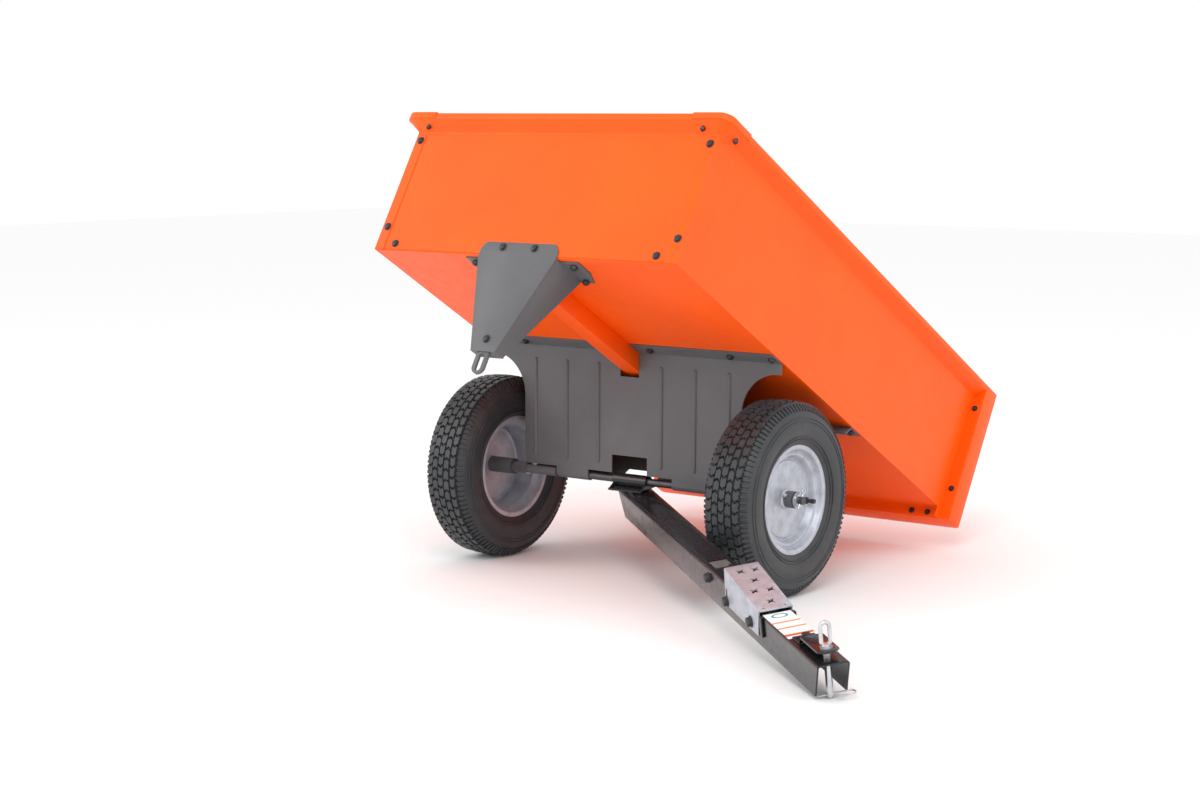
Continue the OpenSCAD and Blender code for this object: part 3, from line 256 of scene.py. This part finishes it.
def foldSheet(points, along, thickness, outward, radius=3.0):
    # a bent sheet: its section is drawn as a line, rounded at the bends, run along, and thickened
    bm = bmesh.new()
    verts = [bm.verts.new(p) for p in points]
    for pair in zip(verts, verts[1:]):
        bm.edges.new(pair)
    if len(verts) > 2:
        bmesh.ops.bevel(bm, geom=verts[1:-1], offset=radius, segments=4, profile=0.5, affect="VERTICES",
                        material=-1)
    swept = bmesh.ops.extrude_edge_only(bm, edges=bm.edges[:])
    bmesh.ops.translate(bm, vec=along, verts=vertsOf(swept))
    bmesh.ops.recalc_face_normals(bm, faces=bm.faces[:])
    widest = max(bm.faces, key=lambda f: f.calc_area())
    if widest.normal.dot(Vector(outward)) < 0:
        bmesh.ops.reverse_faces(bm, faces=bm.faces[:])
    bmesh.ops.solidify(bm, geom=bm.faces[:], thickness=thickness)
    softenEdges(bm, 0.3, 60, 1)
    return bm


def spinSection(points, axis, steps, closed):
    # a turned shape about an axis through the origin, from the points of its section
    bm = bmesh.new()
    verts = [bm.verts.new(p) for p in points]
    for pair in zip(verts, verts[1:] + (verts[:1] if closed else [])):
        bm.edges.new(pair)
    bmesh.ops.spin(bm, geom=bm.verts[:] + bm.edges[:], cent=(0, 0, 0), axis=axis, angle=2 * pi, steps=steps,
                   use_merge=True)
    bmesh.ops.remove_doubles(bm, verts=bm.verts, dist=0.001)
    bmesh.ops.recalc_face_normals(bm, faces=bm.faces[:])
    return bm


def spinAcross(points, steps):
    # turned about the wheel's axle, from [along the axle, radius], closed on itself
    return spinSection([(x, 0, r) for x, r in points], (1, 0, 0), steps, True)


def spinUpright(points, steps):
    # turned about z, from [radius, height]
    return spinSection([(r, 0, z) for r, z in points], (0, 0, 1), steps, False)


def joinInto(bm, other, place=Matrix()):
    mesh = bpy.data.meshes.new("part")
    bmesh.ops.transform(other, matrix=place, verts=other.verts)
    if place.determinant() < 0:
        bmesh.ops.reverse_faces(other, faces=other.faces)
    other.to_mesh(mesh)
    other.free()
    bm.from_mesh(mesh)
    bpy.data.meshes.remove(mesh)


def paintSince(bm, count, index):
    bm.faces.ensure_lookup_table()
    for face in bm.faces[count:]:
        face.material_index = index


wheelOut = 363.0  # from the middle of the axle to the middle of a wheel
tyre = {"radius": 197.8, "steps": 72, "beadSize": 1.3,
        "wall": [(0, 192.6), (17, 192), (33, 189.6), (43, 187), (51, 177), (55.4, 162), (56.6, 146),
                 (54, 130), (49, 118), (45, 111), (43, 103)],
        "lining": [(36, 103), (38, 113), (46, 132), (48, 150), (46, 166), (36, 178), (0, 184)],
        "beads": [(54.6, 166), (55.9, 159), (51.2, 121.5), (53.9, 127.5)],
        "rows": [-31, -15.5, 0, 15.5, 31], "blocks": 54, "block": (7.1, 9.6), "tread": 6.5, "lean": 4.4,
        "crown": (3.2, 36), "lugs": 108, "lug": (17, 6.2, 5), "lugOut": 44.6, "lugUp": 185.3, "lugTilt": 48}


def at(x, y, z):
    return Matrix.Translation((x, y, z))


def tyreMesh():
    wall, lining = tyre["wall"], tyre["lining"]
    right = wall[1:] + lining[:-1]
    loop = [wall[0]] + right + [lining[-1]] + [(-x, r) for x, r in reversed(right)]
    bm = spinAcross(loop, tyre["steps"])
    for x, r in tyre["beads"]:
        for side in (-1, 1):
            bead = bmesh.new()
            bmesh.ops.create_circle(bead, segments=8, radius=tyre["beadSize"],
                                    matrix=at(side * x, 0, r) @ Matrix.Rotation(pi / 2, 4, "X"))
            bmesh.ops.spin(bead, geom=bead.verts[:] + bead.edges[:], cent=(0, 0, 0), axis=(1, 0, 0),
                           angle=2 * pi, steps=tyre["steps"], use_merge=True)
            bmesh.ops.recalc_face_normals(bead, faces=bead.faces[:])
            joinInto(bm, bead)
    return bm


def addBlock(bm, x, turn, lean):
    # a tread block, bent in the middle and narrower at the top
    block = bmesh.new()
    bmesh.ops.create_grid(block, x_segments=2, y_segments=1, size=1)
    bmesh.ops.scale(block, vec=(*tyre["block"], 1), verts=block.verts)
    for vert in block.verts:
        if abs(vert.co.x) < 1:
            vert.co.y += lean
    grown = bmesh.ops.extrude_face_region(block, geom=block.faces[:])
    top = vertsOf(grown)
    bmesh.ops.translate(block, vec=(0, 0, tyre["tread"]), verts=top)
    bmesh.ops.scale(block, vec=(0.86, 0.88, 1), verts=top)
    bmesh.ops.recalc_face_normals(block, faces=block.faces[:])
    drop, reach = tyre["crown"]
    height = tyre["radius"] - drop * (x / reach) ** 2 - tyre["tread"]
    joinInto(bm, block, Matrix.Rotation(turn, 4, "X") @ at(x, 0, height))


def addLug(bm, side, turn):
    # a shoulder lug, leaning out over the side wall
    lug = bmesh.new()
    bmesh.ops.create_cube(lug, size=1)
    bmesh.ops.scale(lug, vec=tyre["lug"], verts=lug.verts)
    bmesh.ops.scale(lug, vec=(0.9, 0.7, 1), verts=[v for v in lug.verts if v.co.z > 0])
    joinInto(bm, lug, Matrix.Rotation(turn, 4, "X") @ at(side * tyre["lugOut"], 0, tyre["lugUp"])
             @ Matrix.Rotation(side * radians(tyre["lugTilt"]), 4, "Y"))


def makeTyre(side, name):
    bm = tyreMesh()
    for row, x in enumerate(tyre["rows"]):
        lean = tyre["lean"] if row % 2 else -tyre["lean"]
        for i in range(tyre["blocks"]):
            addBlock(bm, x, 2 * pi * (i + 0.5 * (row % 2)) / tyre["blocks"], lean)
    for i in range(tyre["lugs"]):
        for edge in (-1, 1):
            addLug(bm, edge, 2 * pi * (i + 0.25 * edge) / tyre["lugs"])
    addPiece(name + "Tyre", bm, axle @ at(side * wheelOut, 0, 0), name + "_wheel", tyreRubber,
             ["tyre_" + name], 40, False)


for name, side in (("left", -1), ("right", 1)):
    makeTyre(side, name)
print("tyres made")


rim = {"face": [(43.2, 111.6), (45.8, 110.6), (45.8, 104.2), (44.8, 101.8), (42, 100.2), (36.4, 98.6),
                (33.2, 96.2), (34.8, 93.6), (34.4, 89.6), (31, 87), (24, 84.4), (20.4, 82.2), (20.2, 79.8),
                (22.8, 77.4), (22.8, 17)],
       "back": [(20.2, 17), (20.2, 76.4), (17.8, 79.2), (17.9, 83.2), (22, 87), (22, 89.9), (-24, 90),
                (-33, 98.4), (-44.4, 101), (-45.8, 104.5), (-45.8, 110.6), (-43.2, 111.6), (-43.2, 104.2),
                (-41.6, 102.6), (-31.5, 100.8), (-23, 92.4), (29.6, 92.4), (30.6, 98), (33.6, 101),
                (41.6, 102.6), (43.2, 104.4)],
       "weld": [(22.6, 16.8), (26.6, 16.8), (25.6, 19.2), (23.2, 21)]}


for name, side in (("left", -1), ("right", 1)):
    bm = spinAcross(rim["face"] + rim["back"], 96)
    softenEdges(bm, 0.7, 24, 3)
    joinInto(bm, spinAcross(rim["weld"], 64))
    addPiece(name + "Rim", bm, axle @ at(side * wheelOut, 0, 0) @ Matrix.Scale(side, 4, (1, 0, 0)),
             name + "_wheel", silverPaint, ["rim_" + name], 40)
print("rims made")


bed = {"half": 381.0, "front": 570.0, "rear": 602.0, "floor": 231.5, "rimTop": 538.0, "rim": 27.0,
       "lip": 12.5, "slope": 19.0, "sheet": 1.5, "seam": 24.0, "cap": 56.0, "capRound": 24.0, "sill": 23.5,
       "rimHem": 4.0, "underCap": 1.6, "bend": 2.6}
wallTop = bed["rimTop"] - bed["lip"] - bed["slope"]
lipLow = bed["rimTop"] - bed["lip"]


def rimSection(low, drop):
    # a wall and its folded rim, from [out from the wall's face, height]; drop lowers the rim's top
    return [(0, low), (0, wallTop), (bed["rim"], lipLow), (bed["rim"], bed["rimTop"] - drop),
            (bed["rimHem"], bed["rimTop"] - drop)]


def sidePanel(side, name):
    h, f, r, low, t = bed["half"], bed["front"], bed["rear"], bed["floor"], bed["sheet"]
    capEnd = -f + bed["cap"]
    bm = foldSheet([(h + out, r, z) for out, z in rimSection(low, 0)], (0, capEnd - r, 0), t, (1, 0, 0),
                   bed["bend"])
    joinInto(bm, foldSheet([(h + out, capEnd, z) for out, z in rimSection(low, bed["underCap"])],
                           (0, -bed["cap"] - 1, 0), t, (1, 0, 0), bed["bend"]))
    joinInto(bm, foldSheet([(h - 0.2, -f + 30, low), (h - 0.2, -f - t, low), (h - bed["seam"], -f - t, low)],
                           (0, 0, wallTop - low - 7), t, (1, 0, 0), 2.2))
    sillLow = low - bed["sill"]
    tail = foldSheet([(h, r - 20, sillLow), (h, r, sillLow), (h + bed["seam"], r, sillLow)],
                     (0, 0, wallTop - sillLow), t, (1, 0, 0), 1.4)
    bmesh.ops.bisect_plane(tail, geom=tail.verts[:] + tail.edges[:] + tail.faces[:],
                           plane_co=(0, r - 9, low), plane_no=(0, -0.38, -1), clear_outer=False)
    joinInto(bm, tail)
    addPiece(name, bm, bedPlace @ Matrix.Scale(side, 4, (1, 0, 0)), "bed", orange,
             ["side_panel_left" if side < 0 else "side_panel_right"])


def frontPanel():
    h, f, t = bed["half"], bed["front"], bed["sheet"]
    low, edge = bed["floor"] + t + 1, h - bed["cap"]
    bm = foldSheet([(-edge, -f - out, z) for out, z in rimSection(low, 0)], (2 * edge, 0, 0), t, (0, -1, 0),
                   bed["bend"])
    for x in (-h + t, edge):
        joinInto(bm, foldSheet([(x, -f - out, z) for out, z in rimSection(low, bed["underCap"])],
                               (bed["cap"] - t, 0, 0), t, (0, -1, 0), bed["bend"]))
    addPiece("frontPanel", bm, bedPlace, "bed", orange, ["front_panel"])


def cornerSlope():
    # the sloped underside that joins the two rims below the cap
    h, f = bed["half"], bed["front"]
    outX, outY = h + bed["rim"], -f - bed["rim"]
    bm = bmesh.new()
    verts = [bm.verts.new(p) for p in ((h - 3, outY, lipLow), (outX, outY, lipLow), (outX, -f + 3, lipLow))]
    for pair in zip(verts, verts[1:]):
        bm.edges.new(pair)
    bmesh.ops.bevel(bm, geom=[verts[1]], offset=bed["capRound"], segments=10, profile=0.5, affect="VERTICES",
                    material=-1)
    swept = bmesh.ops.extrude_edge_only(bm, edges=bm.edges[:])
    bmesh.ops.pointmerge(bm, verts=vertsOf(swept), merge_co=(h - 2, -f + 2, wallTop - 2))
    bmesh.ops.recalc_face_normals(bm, faces=bm.faces[:])
    if max(bm.faces, key=lambda face: face.calc_area()).normal.z > 0:
        bmesh.ops.reverse_faces(bm, faces=bm.faces[:])
    bmesh.ops.solidify(bm, geom=bm.faces[:], thickness=bed["sheet"])
    return bm


def rimCorner(side, name):
    # a formed cap: a rounded top over the corner, with its edge folded down round the outside
    h, f, cap, curve = bed["half"], bed["front"], bed["cap"], bed["capRound"]
    outX, outY, top = h + bed["rim"] + 0.2, -f - bed["rim"] - 0.2, bed["rimTop"] + 0.5
    bm = bmesh.new()
    verts = [bm.verts.new((x, y, top)) for x, y in ((h - cap, outY), (outX, outY), (outX, -f + cap),
                                                    (h + 6, -f + cap), (h + 3, -f + cap - 8),
                                                    (h - cap + 8, -f - 3), (h - cap, -f - 6))]
    bm.faces.new(verts)
    bmesh.ops.bevel(bm, geom=[verts[1]], offset=curve, segments=10, profile=0.5, affect="VERTICES",
                    material=-1)
    rimEdges = [e for e in bm.edges
                if all(v.co.y < outY + curve + 1 or v.co.x > outX - curve - 1 for v in e.verts)
                and all(v.co.x > outX - curve - 0.1 or abs(v.co.y - outY) < 0.01 for v in e.verts)
                and all(v.co.y < outY + curve + 0.1 or abs(v.co.x - outX) < 0.01 for v in e.verts)]
    drop = bmesh.ops.extrude_edge_only(bm, edges=rimEdges)
    bmesh.ops.translate(bm, vec=(0, 0, -bed["lip"] - 0.6), verts=vertsOf(drop))
    bmesh.ops.recalc_face_normals(bm, faces=bm.faces[:])
    if max(bm.faces, key=lambda face: face.calc_area()).normal.z < 0:
        bmesh.ops.reverse_faces(bm, faces=bm.faces[:])
    bmesh.ops.solidify(bm, geom=bm.faces[:], thickness=-0.6 * bed["sheet"])
    softenEdges(bm, 1.0, 50, 3)
    joinInto(bm, cornerSlope())
    addPiece(name, bm, bedPlace @ Matrix.Scale(side, 4, (1, 0, 0)), "bed", orange,
             ["rim_corner_left" if side < 0 else "rim_corner_right"])


for side, name in ((-1, "Left"), (1, "Right")):
    sidePanel(side, "sidePanel" + name)
    rimCorner(side, "rimCorner" + name)
frontPanel()
print("bed panels made")


bolt = {"flange": 1.9, "flangeEdge": 0.9, "tail": 7.0, "nutHigh": 5.4, "nutGap": 0.5, "round": 0.8}


def hexagon(radius, low, high, endsUp):
    # a hexagon head or nut, with its outer end rounded
    bm = bmesh.new()
    bmesh.ops.create_cone(bm, cap_ends=True, segments=6, radius1=radius, radius2=radius, depth=high - low,
                          matrix=at(0, 0, (low + high) / 2))
    end = [e for e in bm.edges if all((v.co.z > high - 0.4) if endsUp else (v.co.z < low + 0.4)
                                      for v in e.verts)]
    bmesh.ops.bevel(bm, geom=end, offset=bolt["round"], segments=2, profile=0.5, affect="EDGES", material=-1)
    return bm


def boltMesh(grip, shank, head, nut, high):
    # the head stands on +z of the origin, and the nut is below the grip
    bm = spinUpright([(0, 0), (head, 0), (head, bolt["flangeEdge"]), (head * 0.86, bolt["flange"]),
                      (0, bolt["flange"])], 32)
    joinInto(bm, hexagon(head * 0.79, 1.4, 1.4 + high, True))
    end = grip + bolt["tail"]
    for big, small, top, length in ((shank, shank * 0.8, -end, 1), (shank, shank, 0, end)):
        stud = bmesh.new()
        bmesh.ops.create_cone(stud, cap_ends=top < 0, segments=20, radius1=small, radius2=big, depth=length,
                              matrix=at(0, 0, top - length / 2))
        joinInto(bm, stud)
    joinInto(bm, hexagon(nut, -grip - bolt["nutGap"] - bolt["nutHigh"], -grip - bolt["nutGap"], False))
    return bm


# each size is (shank radius, head radius, nut radius, head height)
boltSizes = {"bed": (4, 8.5, 7.5, 3.6), "corner": (3.2, 6, 5, 3.6), "tail": (4, 7, 6.5, 3.6),
             "pivot": (5, 11, 10, 7), "stop": (4, 10.5, 9.5, 7), "guide": (4, 10.5, 9, 7),
             "strap": (5, 10.5, 9, 7)}
faceFront = Matrix.Rotation(pi / 2, 4, "X")


def boltGroup(name, node, spots, grip, size, place=bedPlace, body="bed"):
    bm = bmesh.new()
    for spot in spots:
        joinInto(bm, boltMesh(grip, *boltSizes[size]), spot)
    addPiece(name, bm, place, body, blackOxide, [node], 30)


h, f, low, tailFace, rimTop = bed["half"], bed["front"], bed["floor"], bed["rear"] - 1.5, bed["rimTop"]
boltGroup("frontBolts", "front_panel_bolts",
          [at(s * (h - 14.4), -f - 1.5, w) @ faceFront for s in (-1, 1) for w in (low + 52, rimTop - 52)]
          + [at(s * (h - 51), -f, low + 15) @ faceFront for s in (-1, 1)], 3, "bed")
boltGroup("cornerBolts", "rim_corner_bolts",
          [at(s * x, -f + y, rimTop + 1.4) for x, y in ((h - 34, -13.5), (h + 13.5, 34)) for s in (-1, 1)],
          25, "corner")
boltGroup("tailBolts", "tail_frame_bolts",
          [at(s * (h + 12), tailFace, w) @ faceFront for s in (-1, 1) for w in (low + 50, 478)]
          + [at(s * x, tailFace, low - 11.75) @ faceFront for s in (-1, 1) for x in (h - 70, h - 30)], 3,
          "tail")
boltGroup("plateBolts", "axle_plate_bolts",
          [at(s * x, y, low + 1.5) for s in (-1, 1) for x in (66, 266, h - 15) for y in (-166, 185)], 4,
          "bed")
boltGroup("bracketBolts", "latch_bracket_bolts",
          [at(x, -f - 3, low + 17) @ faceFront for x in (-42, 38)] + [at(0, -f - 3, 50) @ faceFront]
          + [at(s * x, -f + y, low + 1.5) for s in (-1, 1) for x, y in ((125, 26), (112, 88))], 6, "bed")
print("bolts made")


# distances along the tongue count forward from the kingpin
tongue = {"top": -17.6, "half": 29.0, "pedalHalf": 32.7, "guideBolt": (576, -37.6), "stopBolt": (692, -47.6),
          "pivotBolt": (825, -43.6), "strapBolt": (1025, -13.6)}
label = {"half": 26.0, "start": 875.0, "end": 1008.0, "lift": 0.6, "thick": 0.3,
         "bars": [(0.36, 0.40, 1), (0.58, 0.62, 1), (0.84, 0.91, 2)],
         "ring": [(9.5, 0.0), (13, 0.0), (13, 0.15), (9.5, 0.15), (9.5, 0.0)], "ringAlong": 17.0}
labelTop = tongue["top"] + label["lift"]


def labelBar(bm, start, end, index, lift):
    # a film across the tongue, in one of the label's colours
    count = len(bm.faces)
    bar = bmesh.new()
    bmesh.ops.create_grid(bar, x_segments=1, y_segments=1, size=0.5,
                          matrix=at(0, -(start + end) / 2, labelTop + lift)
                          @ Matrix.Diagonal((2 * label["half"], end - start, 1, 1)))
    grown = bmesh.ops.extrude_face_region(bar, geom=bar.faces[:])
    bmesh.ops.translate(bar, vec=(0, 0, -label["thick"]), verts=vertsOf(grown))
    bmesh.ops.recalc_face_normals(bar, faces=bar.faces[:])
    joinInto(bm, bar)
    paintSince(bm, count, index)


bm = bmesh.new()
span = label["end"] - label["start"]
labelBar(bm, label["start"], label["end"], 0, -0.2)
for first, last, index in label["bars"]:
    labelBar(bm, label["start"] + first * span, label["start"] + last * span, index, -0.05)
count = len(bm.faces)
joinInto(bm, spinUpright(label["ring"], 40), at(0, -label["start"] - label["ringAlong"], labelTop - 0.12)
         @ Matrix.Diagonal((1.2, 0.8, 1, 1)))
paintSince(bm, count, 3)
addPiece("tongueLabel", bm, tonguePlace, "tongue_body", [labelFilm, labelOrange, labelDark, labelTeal],
         ["tongue_label"])
print("label made")


saddle = {"along": 881.0, "deep": 37.0, "wide": 11.0, "sideOut": 31.4, "sideThick": 4.2, "across": 62.0,
          "over": (0.1, 0.5)}
faceLeft = Matrix.Rotation(-pi / 2, 4, "Y")
faceRight = Matrix.Rotation(pi / 2, 4, "Y")


def tongueBolts(name, node, size, outs, turns, grip):
    # bolts at one place along the tongue, each this far out and turned this way
    along, up = tongue[size + "Bolt"]
    boltGroup(name, node, [at(x, -along, up) @ turn for x, turn in zip(outs, turns)], grip, size,
              tonguePlace, "tongue_body")


def saddleStrap():
    # a strap over the tongue, its ends hanging down both sides
    wide, deep = saddle["wide"], saddle["deep"]
    end = (saddle["sideThick"], wide, deep)
    lift, thick = saddle["over"]
    bm = bmesh.new()
    for x, z, size in ((-saddle["sideOut"], -deep / 2, end), (saddle["sideOut"], -deep / 2, end),
                       (0, lift, (saddle["across"], wide, thick))):
        side = bmesh.new()
        bmesh.ops.create_cube(side, size=1)
        bmesh.ops.scale(side, vec=size, verts=side.verts)
        softenEdges(side, min(size) * 0.3, 60, 3)
        joinInto(bm, side, at(x, -saddle["along"], tongue["top"] + z))
    addPiece("saddleStrap", bm, tonguePlace, "tongue_body", glossBlack, ["pedal_saddle"], 40, False)


tongueBolts("pivotBolt", "pedal_pivot_bolt", "pivot", [-tongue["pedalHalf"]], [faceLeft],
            2 * tongue["pedalHalf"])
tongueBolts("stopBolt", "pedal_stop_bolt", "stop", [-tongue["pedalHalf"]], [faceLeft],
            2 * tongue["pedalHalf"])
tongueBolts("guideBolts", "latch_guide_bolts", "guide", [-tongue["half"], tongue["half"]],
            [faceLeft, faceRight], 3.5)
tongueBolts("strapBolt", "hitch_strap_bolt", "strap", [0], [Matrix()], 7)
saddleStrap()
print("tongue fittings made")


# how wide each edge is rounded, and the shortest edge that is
soft = {"tongue": (0.9, 12), "hitch_strap": (0.9, 5), "foot_pedal": (2.0, 14), "latch_bracket": (1.1, 10),
        "latch_striker": (0.8, 3), "axle_plate_front": (0.8, 6), "axle_plate_rear": (0.8, 6),
        "centre_channel": (1.6, 10), "tail_sill": (0.6, 10), "tailgate_guide_left": (0.6, 10),
        "tailgate_guide_right": (0.6, 10), "tailgate": (0.6, 10), "bed_floor": (0.6, 10),
        "swivel_hub": (0.8, 8), "kingpin_nut": (0.5, 3)}
for node, (width, shortest) in soft.items():
    softCopy(node, width, shortest)
print("edges softened")


studio = {"floorHalf": 14, "floorGap": 0.0005, "floorColour": (0.96, 0.96, 0.96, 1), "floorRough": 0.75,
          "air": (1.0, 1.0, 1.0, 1)}
# each light is (place from the axle's middle, size, power), in metres
lights = {"keyLight": ((2.2, -3.2, 3.6), 2.4, 80), "sideLight": ((4.2, -0.4, 1.6), 2.0, 20),
          "leftLight": ((-3.0, -2.6, 1.8), 2.2, 40)}
bm = bmesh.new()
bmesh.ops.create_grid(bm, x_segments=1, y_segments=1, size=studio["floorHalf"],
                      matrix=at(0, 0, cadBox[0][2] - studio["floorGap"]))
mesh = bpy.data.meshes.new("floor")
bm.to_mesh(mesh)
bm.free()
floor = bpy.data.objects.new("floor", mesh)
bpy.context.scene.collection.objects.link(floor)
floorFinish = Finish("paleFloor")
floorFinish.set(Base_Color=studio["floorColour"], Roughness=studio["floorRough"])
mesh.materials.append(floorFinish.material)

world = bpy.data.worlds.new("studio")
world.use_nodes = True
world.node_tree.nodes["Background"].inputs["Color"].default_value = studio["air"]
world.node_tree.nodes["Background"].inputs["Strength"].default_value = 1.0
bpy.context.scene.world = world


def addLight(name, spot, aim, size, power):
    lamp = bpy.data.lights.new(name, "AREA")
    lamp.size = size
    lamp.energy = power
    item = bpy.data.objects.new(name, lamp)
    item.location = spot
    item.rotation_euler = (aim - spot).to_track_quat("-Z", "Y").to_euler()
    bpy.context.scene.collection.objects.link(item)


middle = Vector(joints["bed_dump"]["pos_m"])
for name, (away, size, power) in lights.items():
    addLight(name, middle + Vector(away), middle, size, power)

view = {"spot": (2.9075, -3.8724, 0.7732), "yaw": 37.7, "down": 7.1, "lens": 69.93}
camera = bpy.data.cameras.new("camera")
camera.lens = view["lens"]
camera.sensor_width = 36
camera.clip_end = 60
eye = bpy.data.objects.new("camera", camera)
eye.location = middle + Vector(view["spot"])
eye.rotation_euler = (radians(90 - view["down"]), 0, radians(view["yaw"]))
bpy.context.scene.collection.objects.link(eye)
bpy.context.scene.camera = eye

print("scene done")
